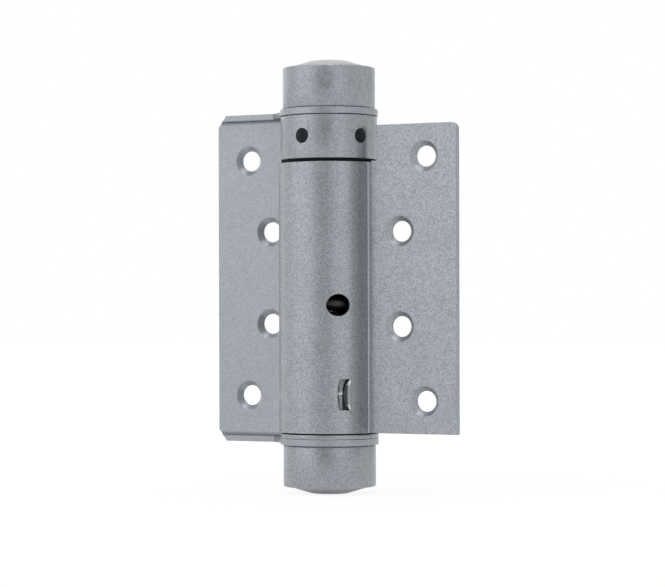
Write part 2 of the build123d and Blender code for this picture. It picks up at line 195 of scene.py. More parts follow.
floor_fade.inputs["To Min"].default_value = white_near
floor_share = floor_nodes.new("ShaderNodeMath")
floor_share.operation = "MULTIPLY"
floor_mix = floor_nodes.new("ShaderNodeMixShader")
floor_links.new(floor_rays.outputs["Is Camera Ray"], floor_seen.inputs[0])
floor_links.new(floor_rays.outputs["Is Glossy Ray"], floor_seen.inputs[1])
floor_links.new(floor_seen.outputs["Value"], floor_clear.inputs[0])
floor_links.new(floor_rays.outputs["Is Transmission Ray"], floor_clear.inputs[1])
floor_links.new(floor_place.outputs["Object"], floor_reach.inputs[0])
floor_links.new(floor_reach.outputs["Value"], floor_fade.inputs["Value"])
floor_links.new(floor_clear.outputs["Value"], floor_share.inputs[0])
floor_links.new(floor_fade.outputs["Result"], floor_share.inputs[1])
floor_links.new(floor_share.outputs["Value"], floor_mix.inputs["Fac"])
floor_links.new(floor_nodes["Principled BSDF"].outputs["BSDF"], floor_mix.inputs[1])
floor_links.new(floor_glow.outputs["Emission"], floor_mix.inputs[2])
floor_links.new(floor_mix.outputs["Shader"], floor_nodes["Material Output"].inputs["Surface"])
floor.data.materials.append(floor_paint)


# Frame leaf: pressed from one steel sheet, with an ear folded forward at each end and a
# ring in each ear for the spindle. It is drilled, countersunk and sprayed with silver lacquer.
sheet = 0.002
leaf_reach = 0.0423
leaf_top = 0.051
leaf_face = 0.0053
leaf_edge = -0.0163
ear_radius = 0.015
ear_front = 0.0040
ear_inside = leaf_top - sheet
edge_wear = 0.00016
hair = 0.0001  # how near a point lies to what it is on


def block(name, low, high):
    """A cube stretched from its low corner to its high one."""
    bpy.ops.object.select_all(action="DESELECT")
    middle = [(a + b) / 2 for a, b in zip(low, high)]
    bpy.ops.mesh.primitive_cube_add(size=1, location=middle, scale=[b - a for a, b in zip(low, high)])
    made = bpy.context.object
    made.name = name
    bpy.ops.object.transform_apply(location=True, rotation=True, scale=True)
    return made


def rod(name, place, radius, depth, way=(0, 0, 1), far_radius=None, steps=64):
    """A round bar, or a cone with its own radius at the far end, with its middle at a place."""
    bpy.ops.object.select_all(action="DESELECT")
    turn = Vector(way).to_track_quat("Z", "Y").to_euler()
    last = radius if far_radius is None else far_radius
    bpy.ops.mesh.primitive_cone_add(
        vertices=steps, radius1=radius, radius2=last, depth=depth, location=place, rotation=turn
    )
    made = bpy.context.object
    made.name = name
    bpy.ops.object.transform_apply(location=True, rotation=True, scale=True)
    return made


def work_on(piece):
    """Makes a piece the only one selected, and the active one."""
    bpy.ops.object.select_all(action="DESELECT")
    piece.select_set(True)
    bpy.context.view_layer.objects.active = piece


def face_outward(piece):
    """Turns the faces of a piece so that all look out of it."""
    work_on(piece)
    bpy.ops.object.mode_set(mode="EDIT")
    bpy.ops.mesh.select_all(action="SELECT")
    bpy.ops.mesh.normals_make_consistent(inside=False)
    bpy.ops.object.mode_set(mode="OBJECT")


def cut_plate(name, outline, low, high, upright=False):
    """A level plate cut to an outline in X and Y, or an upright one cut to an outline in X and Z."""
    bpy.ops.object.select_all(action="DESELECT")
    bpy.ops.mesh.primitive_circle_add(vertices=len(outline), radius=1, fill_type="NGON")
    made = bpy.context.object
    made.name = name
    for vert, (across, up) in zip(made.data.vertices, outline):
        vert.co = (across, low, up) if upright else (across, up, low)
    thickness = (0, high - low, 0) if upright else (0, 0, high - low)
    bpy.ops.object.mode_set(mode="EDIT")
    bpy.ops.mesh.select_all(action="SELECT")
    bpy.ops.mesh.extrude_region_move(TRANSFORM_OT_translate={"value": thickness})
    bpy.ops.object.mode_set(mode="OBJECT")
    face_outward(made)
    return made


def arc(centre, radius, start, end, steps):
    """Points on an arc, with its angles in degrees from +X towards +Y."""
    turns = [radians(start + (end - start) * step / steps) for step in range(steps + 1)]
    return [(centre[0] + radius * cos(turn), centre[1] + radius * sin(turn)) for turn in turns]


def join_with(piece, tool, operation="DIFFERENCE", folded=False):
    """Cuts a piece with a tool, or unites the two. A folded tool may touch itself."""
    work_on(piece)
    step = piece.modifiers.new("join", "BOOLEAN")
    step.operation = operation
    step.solver = "EXACT"
    step.use_self = folded
    step.object = tool
    bpy.ops.object.modifier_apply(modifier=step.name)
    bpy.data.objects.remove(tool)


def pick_edges(test):
    """In edit mode, selects the edges whose middle passes a test."""
    bpy.context.tool_settings.mesh_select_mode = (False, True, False)
    bpy.ops.mesh.select_all(action="DESELECT")
    shape = bmesh.from_edit_mesh(bpy.context.object.data)
    for edge in shape.edges:
        edge.select_set(test((edge.verts[0].co + edge.verts[1].co) / 2))
    bmesh.update_edit_mesh(bpy.context.object.data)


def pick_faces(test):
    """In edit mode, selects the faces whose middle passes a test."""
    bpy.context.tool_settings.mesh_select_mode = (False, False, True)
    bpy.ops.mesh.select_all(action="DESELECT")
    shape = bmesh.from_edit_mesh(bpy.context.object.data)
    for face in shape.faces:
        face.select_set(test(face.calc_center_median()))
    bmesh.update_edit_mesh(bpy.context.object.data)


def round_edges(piece, test, radius, segments):
    """Rounds the edges of a piece whose middle passes a test."""
    work_on(piece)
    bpy.ops.object.mode_set(mode="EDIT")
    pick_edges(test)
    bpy.ops.mesh.bevel(offset=radius, offset_type="OFFSET", segments=segments, affect="EDGES")
    bpy.ops.object.mode_set(mode="OBJECT")


def finish_edges(piece, width, segments=2, limit=32, merge=0.00001, rings=()):
    """Joins flat faces, splits them again at some levels, softens the edges and shades the rest."""
    work_on(piece)
    bpy.ops.object.mode_set(mode="EDIT")
    bpy.ops.mesh.select_all(action="SELECT")
    bpy.ops.mesh.remove_doubles(threshold=merge)
    bpy.ops.mesh.dissolve_limited(angle_limit=radians(0.5))
    for level in rings:
        bpy.ops.mesh.select_all(action="SELECT")
        bpy.ops.mesh.bisect(plane_co=(0, 0, level), plane_no=(0, 0, 1))
    bpy.ops.mesh.select_all(action="SELECT")
    bpy.ops.mesh.normals_make_consistent(inside=False)
    bpy.ops.object.mode_set(mode="OBJECT")
    bpy.ops.object.shade_smooth_by_angle(angle=radians(limit))
    soft = piece.modifiers.new("soft_edges", "BEVEL")
    soft.width = width
    soft.segments = segments
    soft.limit_method = "ANGLE"
    soft.angle_limit = radians(limit)
    soft.use_clamp_overlap = False
    soft.miter_outer = "MITER_ARC"
    soft.harden_normals = True
    bpy.ops.object.modifier_apply(modifier=soft.name)


fold_outside = 0.0024
fold_inside = 0.0004
leaf_back = leaf_face + sheet
leaf_corner = (-leaf_reach, ear_front, -leaf_top)
frame_leaf = block("frame_leaf_sheet", leaf_corner, (leaf_edge, leaf_back, leaf_top))


def on_back_ends(at):
    """Whether a point lies where the back of the leaf folds over into an ear."""
    return at.y > leaf_back - hair and abs(at.z) > leaf_top - hair


round_edges(frame_leaf, on_back_ends, fold_outside, segments=8)
corner_width = 0.0030
corner_drop = 0.0035
lip_start = -leaf_reach - sheet
lip_end = -0.0390
lip_back = leaf_face - fold_inside
hollow = block("hollow", (-leaf_reach - sheet, 0, -ear_inside), (0, leaf_face, ear_inside))


def on_inner_corner(at):
    """Whether a point lies in the corner between the plate and an ear."""
    return at.y > leaf_face - hair and abs(at.z) > ear_inside - hair


round_edges(hollow, on_inner_corner, fold_inside, segments=4)
join_with(frame_leaf, hollow)
for side in (1, -1):
    corner_outline = [
        (-leaf_reach - corner_width, side * (leaf_top - 2 * corner_drop)),
        (2 * corner_width - leaf_reach, side * (leaf_top + corner_drop)),
        (-leaf_reach - corner_width, side * (leaf_top + corner_drop)),
    ]
    join_with(frame_leaf, cut_plate("corner_cut", corner_outline, 0, leaf_face + 2 * sheet, upright=True))
    lip_low, lip_high = sorted((side * (ear_inside - fold_inside), side * (leaf_top + sheet)))
    lip_cut = block("lip_cut", (lip_start, 0, lip_low), (lip_end, lip_back, lip_high))
    join_with(frame_leaf, lip_cut)

# The neck runs slanting from the plate to the ring of the ear, and meets it in a hollow round
neck_start = Vector((-0.0218, ear_front))
neck_front = 0.0025
neck_end = Vector((-sqrt(ear_radius**2 - neck_front**2), -neck_front))
neck_round = 0.003
neck_steps = 8
ring_steps = 110
neck_way = (neck_end - neck_start).normalized()
neck_out = Vector((neck_way.y, -neck_way.x))
round_from = neck_start + neck_out * neck_round
along = -round_from.dot(neck_way) - sqrt(
    round_from.dot(neck_way) ** 2 - round_from.length_squared + (ear_radius + neck_round) ** 2
)
round_centre = round_from + neck_way * along
round_start = degrees(atan2(-neck_out.y, -neck_out.x))
round_end = degrees(atan2(-round_centre.y, -round_centre.x))
fold_relief = 0.0005
relief = Vector((leaf_edge, leaf_face - fold_relief))
relief_turn = degrees(atan2(relief.y, relief.x)) - degrees(acos(ear_radius / relief.length))
ring_turn = degrees(atan2(round_centre.y, round_centre.x)) + 360
ear_outline = [tuple(neck_start)]
ear_outline += arc(round_centre, neck_round, round_start, round_end, neck_steps)
ear_outline += arc((0, 0), ear_radius, ring_turn, relief_turn + 360, ring_steps)[1:]
ear_outline += [tuple(relief), (neck_start.x, relief.y)]
stub_bore = 0.0041
for bottom in (ear_inside, -leaf_top):
    ear = cut_plate("ear", ear_outline, bottom, bottom + sheet)
    join_with(ear, rod("bore", (0, 0, bottom + sheet / 2), stub_bore, 3 * sheet))
    join_with(frame_leaf, ear, "UNION")

screw_radius = 0.0031
head_radius = 0.0046
sink_depth = head_radius - screw_radius
sink_over = 0.0006
frame_screws = [(-0.0312, 0.03665), (-0.0312, -0.03665), (-0.0237, 0.0143), (-0.0237, -0.0143)]


def drill_screw_hole(piece, x, face, z):
    """Drills and countersinks one screw hole from the face that looks towards -Y."""
    drill = rod(
        "countersink_drill",
        (x, face + (sink_depth - sink_over) / 2, z),
        head_radius + sink_over,
        sink_depth + sink_over,
        (0, 1, 0),
        screw_radius,
    )
    bpy.ops.object.mode_set(mode="EDIT")
    pick_faces(lambda at: at.y > face + sink_depth - hair)
    bpy.ops.mesh.extrude_region_move(TRANSFORM_OT_translate={"value": (0, 2 * sheet, 0)})
    bpy.ops.object.mode_set(mode="OBJECT")
    join_with(piece, drill)


for x, z in frame_screws:
    drill_screw_hole(frame_leaf, x, leaf_face, z)
finish_edges(frame_leaf, edge_wear, merge=0.00009)
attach(frame_leaf, "frame")
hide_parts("frame_leaf")

lacquer_group = bpy.data.node_groups.new("sprayed_lacquer", "ShaderNodeTree")
lacquer_group.interface.new_socket("Flake Scale", in_out="INPUT", socket_type="NodeSocketFloat")
lacquer_group.interface.new_socket("Dark", in_out="INPUT", socket_type="NodeSocketColor")
lacquer_group.interface.new_socket("Light", in_out="INPUT", socket_type="NodeSocketColor")
lacquer_group.interface.new_socket("Colour", in_out="OUTPUT", socket_type="NodeSocketColor")
lacquer_group.interface.new_socket("Roughness", in_out="OUTPUT", socket_type="NodeSocketFloat")
lacquer_group.interface.new_socket("Height", in_out="OUTPUT", socket_type="NodeSocketFloat")
spray = lacquer_group.nodes
spray_links = lacquer_group.links
spray_in = spray.new("NodeGroupInput")
spray_out = spray.new("NodeGroupOutput")
spray_place = spray.new("ShaderNodeTexCoord")
flakes = spray.new("ShaderNodeTexVoronoi")
flake_tone = spray.new("ShaderNodeSeparateColor")
clouds = spray.new("ShaderNodeTexNoise")
clouds.inputs["Scale"].default_value = 90
clouds.inputs["Detail"].default_value = 2
cloud_range = spray.new("ShaderNodeMapRange")
cloud_range.inputs["From Min"].default_value = 0.3
cloud_range.inputs["From Max"].default_value = 0.7
blend_tones = spray.new("ShaderNodeMix")
blend_tones.inputs["Factor"].default_value = 0.12
tone = spray.new("ShaderNodeMix")
tone.data_type = "RGBA"
peel = spray.new("ShaderNodeTexNoise")
peel.inputs["Scale"].default_value = 700
peel.inputs["Detail"].default_value = 2
dull = spray.new("ShaderNodeMapRange")
dull.inputs["To Min"].default_value = 0.32
dull.inputs["To Max"].default_value = 0.42
for texture in (flakes, clouds, peel):
    spray_links.new(spray_place.outputs["Object"], texture.inputs["Vector"])
spray_links.new(spray_in.outputs["Flake Scale"], flakes.inputs["Scale"])
spray_links.new(flakes.outputs["Color"], flake_tone.inputs["Color"])
spray_links.new(clouds.outputs["Fac"], cloud_range.inputs["Value"])
spray_links.new(flake_tone.outputs["Red"], blend_tones.inputs["A"])
spray_links.new(cloud_range.outputs["Result"], blend_tones.inputs["B"])
spray_links.new(blend_tones.outputs["Result"], tone.inputs["Factor"])
spray_links.new(spray_in.outputs["Dark"], tone.inputs["A"])
spray_links.new(spray_in.outputs["Light"], tone.inputs["B"])
spray_links.new(flake_tone.outputs["Green"], dull.inputs["Value"])
spray_links.new(tone.outputs["Result"], spray_out.inputs["Colour"])
spray_links.new(dull.outputs["Result"], spray_out.inputs["Roughness"])
spray_links.new(peel.outputs["Fac"], spray_out.inputs["Height"])


def silver_lacquer(name, dark, light):
    """The sprayed finish, with a dark and a light tone of its flakes."""
    made = bpy.data.materials.new(name)
    made.use_nodes = True
    parts = made.node_tree.nodes
    links = made.node_tree.links
    paint = parts["Principled BSDF"]
    paint.inputs["Metallic"].default_value = 0.78
    coat = parts.new("ShaderNodeGroup")
    coat.node_tree = lacquer_group
    coat.inputs["Flake Scale"].default_value = 3200
    coat.inputs["Dark"].default_value = dark
    coat.inputs["Light"].default_value = light
    bump = parts.new("ShaderNodeBump")
    bump.inputs["Strength"].default_value = 0.25
    bump.inputs["Distance"].default_value = 0.00004
    links.new(coat.outputs["Colour"], paint.inputs["Base Color"])
    links.new(coat.outputs["Roughness"], paint.inputs["Roughness"])
    links.new(coat.outputs["Height"], bump.inputs["Height"])
    links.new(bump.outputs["Normal"], paint.inputs["Normal"])
    return made


def ramp(material, value, start, end, most=1.0, smooth=False):
    """The share, from 0 to the most it may be, of a value on its way from start to end."""
    made = material.node_tree.nodes.new("ShaderNodeMapRange")
    made.interpolation_type = "SMOOTHSTEP" if smooth else "LINEAR"
    made.inputs["From Min"].default_value = start
    made.inputs["From Max"].default_value = end
    made.inputs["To Max"].default_value = most
    material.node_tree.links.new(value, made.inputs["Value"])
    return made.outputs["Result"]


def tint(material, share, colour):
    """Mixes a colour over a material's own, by a share."""
    links = material.node_tree.links
    skin_colour = material.node_tree.nodes["Principled BSDF"].inputs["Base Color"]
    mix = material.node_tree.nodes.new("ShaderNodeMix")
    mix.data_type = "RGBA"
    mix.inputs["B"].default_value = colour
    links.new(skin_colour.links[0].from_socket, mix.inputs["A"])
    links.new(share, mix.inputs["Factor"])
    links.new(mix.outputs["Result"], skin_colour)


# The corner between the plate and each ear gets painted shade, a darker tone where the ear's shadow falls.
# Each mask: where it is measured, where it starts and where it is full
frame_lacquer = silver_lacquer("frame_lacquer", (0.29, 0.312, 0.338, 1), (0.395, 0.422, 0.456, 1))
corner_nodes = frame_lacquer.node_tree.nodes
corner_links = frame_lacquer.node_tree.links
corner_place = corner_nodes.new("ShaderNodeTexCoord")
corner_ways = corner_nodes.new("ShaderNodeSeparateXYZ")
corner_height = corner_nodes.new("ShaderNodeMath")
corner_height.operation = "ABSOLUTE"
corner_links.new(corner_place.outputs["Object"], corner_ways.inputs["Vector"])
corner_links.new(corner_ways.outputs["Z"], corner_height.inputs[0])
corner_shade_share = None
for measure, start, full in (
    (corner_height.outputs["Value"], ear_inside - 0.0011, ear_inside - 0.0004),
    (corner_height.outputs["Value"], ear_inside + 0.00045, ear_inside + 0.00015),
    (corner_ways.outputs["Y"], leaf_face + 0.0008, leaf_face + 0.0005),
    (corner_ways.outputs["X"], neck_end.x - 0.0005, neck_end.x - 0.0025),
):
    mask = ramp(frame_lacquer, measure, start, full)
    if corner_shade_share:
        both = corner_nodes.new("ShaderNodeMath")
        both.operation = "MULTIPLY"
        corner_links.new(corner_shade_share, both.inputs[0])
        corner_links.new(mask, both.inputs[1])
        mask = both.outputs["Value"]
    corner_shade_share = mask
# Painted shade: a dark tone mixed into the lacquer in the corner under each ear
tint(frame_lacquer, corner_shade_share, (0.19, 0.204, 0.224, 1))
frame_leaf.data.materials.append(frame_lacquer)


# Door leaf: a flat plate whose edge is rolled into the barrel, so that the free end of the
# roll comes back to the front of the plate. It is sprayed after the rolling and punching.
door_reach = 0.0442
door_face = -0.0026
door_foot = -0.0472
door_top = 0.0457
barrel_top = 0.0346
barrel_radius = 0.01535
barrel_middle = barrel_radius - sheet / 2
notch_edge = 0.0174  # how far the plate is cut back beside the collar
notch_top = 0.0350
corner_round = 0.002
root_bend = 0.0014
root_steps = 8
roll_steps = 240
seam_turn = radians(9.9)  # from the plate's +X to the free end of the roll
seam_round = 0.00035
root_y = door_face + sheet / 2 + root_bend
root_x = sqrt((barrel_middle + root_bend) ** 2 - root_y**2)
root_turn = atan2(root_y, root_x)


def push_faces(test, way):
    """In edit mode, extrudes the faces whose middle passes a test."""
    pick_faces(test)
    bpy.ops.mesh.extrude_region_move(TRANSFORM_OT_translate={"value": way})


def sweep_end(steps, turn, centre):
    """In edit mode, spins the picked end face round an upright axis, and joins it on."""
    bpy.ops.mesh.spin(steps=steps, angle=turn, center=centre, axis=(0, 0, -1), dupli=False)


door_back = door_face + sheet
door_leaf = block("door_leaf_sheet", (notch_edge, door_face, door_foot), (door_reach, door_back, notch_top))
work_on(door_leaf)
bpy.ops.object.mode_set(mode="EDIT")
push_faces(lambda at: at.z > notch_top - hair, (0, 0, door_top - notch_top))
push_faces(lambda at: at.x < notch_edge + hair and at.z < notch_top, (root_x - notch_edge, 0, 0))
bpy.ops.mesh.select_all(action="SELECT")
bpy.ops.mesh.bisect(plane_co=(0, 0, barrel_top), plane_no=(0, 0, 1))
pick_faces(lambda at: at.x < root_x + hair and at.z < barrel_top)
sweep_end(root_steps, -(pi / 2 - root_turn), (root_x, root_y, 0))
sweep_end(roll_steps, 2 * pi - root_turn - seam_turn, (0, 0, 0))
bpy.ops.object.mode_set(mode="OBJECT")
door_corner = Vector((door_reach, door_face + sheet / 2, door_top))
round_edges(door_leaf, lambda at: (at - door_corner).length < hair, corner_round, segments=6)
free_edge = Vector((barrel_radius * cos(seam_turn), -barrel_radius * sin(seam_turn)))
round_edges(door_leaf, lambda at: (at.xy - free_edge).length < hair, seam_round, segments=4)
door_screws = [(0.0335, 0.0359), (0.0335, -0.0374), (0.0253, 0.01355), (0.0253, -0.01505)]
for x, z in door_screws:
    drill_screw_hole(door_leaf, x, door_face, z)


def from_spindle(turn, radius, level=0.0):
    """A point round the spindle, with its turn counted from -Y towards +X."""
    return Vector((radius * sin(turn), -radius * cos(turn), level))


sight_turn = radians(38.2)
sight_level = -0.0086
sight_radius = 0.003325
sight_stretch = 7.1 / 6.65  # width to height, from the roll
sight_depth = 0.010
sight_tool = rod("sight_punch", (0, 0, 0), sight_radius, sight_depth, (0, 1, 0))
for vert in sight_tool.data.vertices:
    middle = from_spindle(sight_turn, barrel_radius - vert.co.y, vert.co.z + sight_level)
    vert.co = middle + from_spindle(sight_turn + pi / 2, vert.co.x * sight_stretch)
join_with(door_leaf, sight_tool)

lance_turn = radians(45)
lance_foot = -0.0401
lance_top = -0.0309
lance_middle = (lance_foot + lance_top) / 2
lance_half = (lance_top - lance_foot) / 2
lance_left = radians(37.3)
lance_bow = radians(2.0)  # how much the cut edge curves
lance_right = radians(53.0)
tear_start = radians(47)
tear_rise = 0.0004
punch_inside = 0.0105
punch_outside = 0.0175


def across_at(turn, radius=barrel_radius):
    """How far a turn lies to the side of the middle of the lance."""
    return radius * sin(turn - lance_turn)


def turn_to_lance(tool):
    """Turns an upright plate, cut in front of the origin, to the side where the lance is."""
    for vert in tool.data.vertices:
        outward = from_spindle(lance_turn, vert.co.y, vert.co.z)
        vert.co = outward + from_spindle(lance_turn + pi / 2, vert.co.x)
    face_outward(tool)


lance_outline = [
    (across_at(lance_left + lance_bow * step * step), lance_middle + lance_half * step)
    for step in (quarter / 4 for quarter in range(-4, 5))
]
lance_outline += [(across_at(tear_start), lance_top), (across_at(lance_right), lance_top + tear_rise)]
lance_outline += [(across_at(lance_right), lance_foot - tear_rise), (across_at(tear_start), lance_foot)]
lance_tool = cut_plate("lance_punch", lance_outline, punch_inside, punch_outside, upright=True)
turn_to_lance(lance_tool)
join_with(door_leaf, lance_tool)

# The tongue, as a bent grid that gets its thickness inwards. Its turns are in degrees: root is
# where it leaves the skin and tip where it ends, and both bow most at its mid height.
tongue_half = 0.00495
tongue_steps = 28
tongue_points = 6
tongue_sheet = 0.0011
tongue_depth = 0.0021
tongue_root = 53.2
tongue_root_bow = 3.6
tongue_reach = 0.7
tongue_tip_bow = 2.9
tongue_lap = 54.5
lap_share = 0.1
root_share = 0.3
root_margin = 0.9
lap_sunk = 0.00006
root_sunk = 0.00004
bow_power = 0.75
bend_power = 1.3
bpy.ops.object.select_all(action="DESELECT")
bpy.ops.mesh.primitive_grid_add(x_subdivisions=tongue_steps, y_subdivisions=tongue_points, size=2)
tongue = bpy.context.object
tongue.name = "lance_tongue"
for vert in tongue.data.vertices:
    height = vert.co.x
    share = (vert.co.y + 1) / 2
    bow = (1 - height * height) ** bow_power
    root = tongue_root - tongue_root_bow * bow
    tip = root - tongue_reach - tongue_tip_bow * bow
    if share < lap_share:
        turn, sunk = tongue_lap, lap_sunk
    elif share < root_share:
        turn, sunk = root + root_margin, root_sunk
    else:
        past = (share - root_share) / (1 - root_share)
        turn = root + (tip - root) * past
        sunk = root_sunk + tongue_depth * bow * past**bend_power
    vert.co = from_spindle(radians(turn), barrel_radius - sunk, lance_middle + tongue_half * height)
face_outward(tongue)
outward = tongue.data.polygons[0].normal.dot(from_spindle(lance_turn, 1))
thicken = tongue.modifiers.new("sheet", "SOLIDIFY")
thicken.thickness = tongue_sheet
thicken.offset = -1 if outward > 0 else 1
bpy.ops.object.modifier_apply(modifier=thicken.name)
face_outward(tongue)
join_with(door_leaf, tongue, "UNION", folded=True)


def give_faces(piece, test, material):
    """Gives the faces whose middle passes a test a material of their own."""
    piece.data.materials.append(material)
    work_on(piece)
    bpy.ops.object.mode_set(mode="EDIT")
    pick_faces(test)
    piece.active_material_index = len(piece.data.materials) - 1
    bpy.ops.object.material_slot_assign()
    bpy.ops.object.mode_set(mode="OBJECT")


skin_outside = barrel_radius + 0.00005
strip_start = 77.8
strip_end = 81


def on_free_end(at):
    """Whether a point lies on the strip at the free end of the roll that gets a painted highlight."""
    turn = degrees(atan2(at.x, -at.y))
    on_skin = barrel_radius - seam_round < at.xy.length < skin_outside
    return on_skin and strip_start < turn < strip_end and door_foot < at.z < barrel_top


tear_left = 44
tear_right = 54.2
tear_low = 0.0027
tear_high = 0.0056
torn_inside = barrel_radius - 0.0016
torn_outside = barrel_radius - 0.00007
rubbed_left = 50.8
rubbed_low = 0.0038
rubbed_inside = barrel_radius - 0.0002


def on_tear(at):
    """Whether a point lies where the sheet is torn, or rubbed, at the ends of the tongue."""
    turn = degrees(atan2(at.x, -at.y))
    past_middle = abs(at.z - lance_middle)
    torn = tear_left < turn and torn_inside < at.xy.length < torn_outside
    rubbed = rubbed_left < turn and rubbed_low < past_middle and rubbed_inside < at.xy.length < skin_outside
    return tear_low < past_middle < tear_high and turn < tear_right and (torn or rubbed)


def bare_metal(name, dark, light, roughness):
    """Steel without lacquer, bare or oiled, with faint streaks."""
    made = bpy.data.materials.new(name)
    made.use_nodes = True
    parts = made.node_tree.nodes
    links = made.node_tree.links
    skin = parts["Principled BSDF"]
    skin.inputs["Metallic"].default_value = 0.9
    skin.inputs["Roughness"].default_value = roughness
    place = parts.new("ShaderNodeTexCoord")
    streaks = parts.new("ShaderNodeTexNoise")
    streaks.inputs["Scale"].default_value = 420
    streaks.inputs["Detail"].default_value = 3
    blend = parts.new("ShaderNodeMix")
    blend.data_type = "RGBA"
    blend.inputs["A"].default_value = dark
    blend.inputs["B"].default_value = light
    links.new(place.outputs["Object"], streaks.inputs["Vector"])
    links.new(streaks.outputs["Fac"], blend.inputs["Factor"])
    links.new(blend.outputs["Result"], skin.inputs["Base Color"])
    return made


bare_steel = bare_metal("bare_steel", (0.75, 0.75, 0.76, 1), (0.95, 0.95, 0.96, 1), 0.35)
sight_margin = 0.0042
lance_margin = 0.0006
cut_levels = (
    sight_level + sight_margin,
    sight_level - sight_margin,
    lance_top + lance_margin,
    lance_foot - lance_margin,
)
finish_edges(door_leaf, edge_wear, rings=cut_levels)
door_lacquer = silver_lacquer("door_lacquer", (0.245, 0.264, 0.286, 1), (0.435, 0.462, 0.498, 1))
# A soft dark band of painted shade runs down the side of the barrel, between the lance and the
# seam, where the plate shades it.
seam_shade_turn = radians(61)
seam_shade_width = 0.0036
seam_shade_core = 0.0006
seam_shade_nodes = door_lacquer.node_tree.nodes
seam_shade_place = seam_shade_nodes.new("ShaderNodeTexCoord")
seam_shade_flat = seam_shade_nodes.new("ShaderNodeVectorMath")
seam_shade_flat.operation = "MULTIPLY"
seam_shade_flat.inputs[1].default_value = (1, 1, 0)
seam_shade_far = seam_shade_nodes.new("ShaderNodeVectorMath")
seam_shade_far.operation = "DISTANCE"
seam_shade_far.inputs[1].default_value = from_spindle(seam_shade_turn, barrel_radius)
door_lacquer.node_tree.links.new(seam_shade_place.outputs["Object"], seam_shade_flat.inputs[0])
door_lacquer.node_tree.links.new(seam_shade_flat.outputs["Vector"], seam_shade_far.inputs[0])
seam_shade_share = ramp(door_lacquer, seam_shade_far.outputs["Value"], seam_shade_width, seam_shade_core, most=0.31, smooth=True)
tint(door_lacquer, seam_shade_share, (0.02, 0.021, 0.023, 1))
door_leaf.data.materials.append(door_lacquer)
# The strip at the free end of the roll gets a light lacquer with little metal in it: a painted highlight
# along the seam.
seam_highlight_lacquer = silver_lacquer("seam_highlight_lacquer", (0.66, 0.68, 0.71, 1), (0.80, 0.82, 0.85, 1))
seam_highlight_lacquer.node_tree.nodes["Principled BSDF"].inputs["Metallic"].default_value = 0.1
give_faces(door_leaf, on_free_end, seam_highlight_lacquer)
give_faces(door_leaf, on_tear, bare_steel)
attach(door_leaf, "door")
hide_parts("door_leaf")


# Tension collar: a turned steel ring between the upper ear and the barrel, drilled round for
# the tommy bar that winds the spring. Its spigot and bush sit inside the barrel.
collar_radius = 0.01475
collar_foot = 0.0356
collar_top = 0.0489
collar_edge = 0.0004
collar_round = 0.0001


def turned(name, outline, steps=128, closed=True):
    """A turned piece: its half section, as points of radius and level, spun round the spindle."""
    bpy.ops.object.select_all(action="DESELECT")
    bpy.ops.mesh.primitive_circle_add(vertices=len(outline), radius=1, fill_type="NOTHING")
    made = bpy.context.object
    made.name = name
    for vert, (radius, level) in zip(made.data.vertices, outline):
        vert.co = (radius, 0, level)
    bpy.ops.object.mode_set(mode="EDIT")
    if not closed:
        pick_edges(lambda at: at.x < hair)
        bpy.ops.mesh.delete(type="EDGE")
    bpy.ops.mesh.select_all(action="SELECT")
    bpy.ops.mesh.spin(steps=steps, angle=2 * pi, center=(0, 0, 0), axis=(0, 0, 1), dupli=False)
    bpy.ops.mesh.select_all(action="SELECT")
    bpy.ops.mesh.remove_doubles(threshold=0.000005)
    bpy.ops.mesh.normals_make_consistent(inside=False)
    bpy.ops.object.mode_set(mode="OBJECT")
    return made


spigot_foot = 0.0288
spigot_radius = 0.0133
spigot_chamfer = 0.0005
collar_bore = 0.00632
flange_seat = 0.00792
flange_depth = 0.0008
tension_collar = turned(
    "tension_collar_ring",
    [
        (collar_bore, spigot_foot),
        (spigot_radius - spigot_chamfer, spigot_foot),
        (spigot_radius, spigot_foot + spigot_chamfer),
        (spigot_radius, collar_foot),
        (collar_radius - collar_edge, collar_foot),
        (collar_radius - collar_round, collar_foot + collar_round),
        (collar_radius, collar_foot + collar_edge),
        (collar_radius, collar_top - collar_edge),
        (collar_radius - collar_round, collar_top - collar_round),
        (collar_radius - collar_edge, collar_top),
        (flange_seat, collar_top),
        (flange_seat, collar_top - flange_depth),
        (collar_bore, collar_top - flange_depth),
    ],
)
tommy_level = 0.04245
tommy_radius = 0.00225
tommy_depth = 0.0070
tommy_over = 0.001  # how far the drill starts outside the collar
tommy_count = 5
tommy_first = -6
tommy_pitch = 75
for number in range(tommy_count):
    turn = radians(tommy_first + tommy_pitch * number)
    tool = rod(
        "tommy_drill",
        from_spindle(turn, collar_radius - tommy_depth / 2 + tommy_over, tommy_level),
        tommy_radius,
        tommy_depth + 2 * tommy_over,
        from_spindle(turn, 1),
        steps=48,
    )
    join_with(tension_collar, tool)
finish_edges(tension_collar, collar_round)
collar_lacquer = silver_lacquer("collar_lacquer", (0.240, 0.258, 0.280, 1), (0.415, 0.441, 0.475, 1))
tension_collar.data.materials.append(collar_lacquer)
# The spigot's round face and chamfer are made near-black steel, so that the gap under the collar is dark.
near_black_spigot_steel = bare_metal("near_black_spigot_steel", (0.015, 0.015, 0.018, 1), (0.03, 0.03, 0.034, 1), 0.55)
spigot_inside = spigot_radius - 2 * spigot_chamfer


def on_spigot(at):
    """Whether a point lies on the round face of the spigot, or on its chamfer."""
    return spigot_inside < at.xy.length < spigot_radius + hair and at.z < collar_foot - hair


give_faces(tension_collar, on_spigot, near_black_spigot_steel)
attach(tension_collar, "collar")
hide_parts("tension_collar")


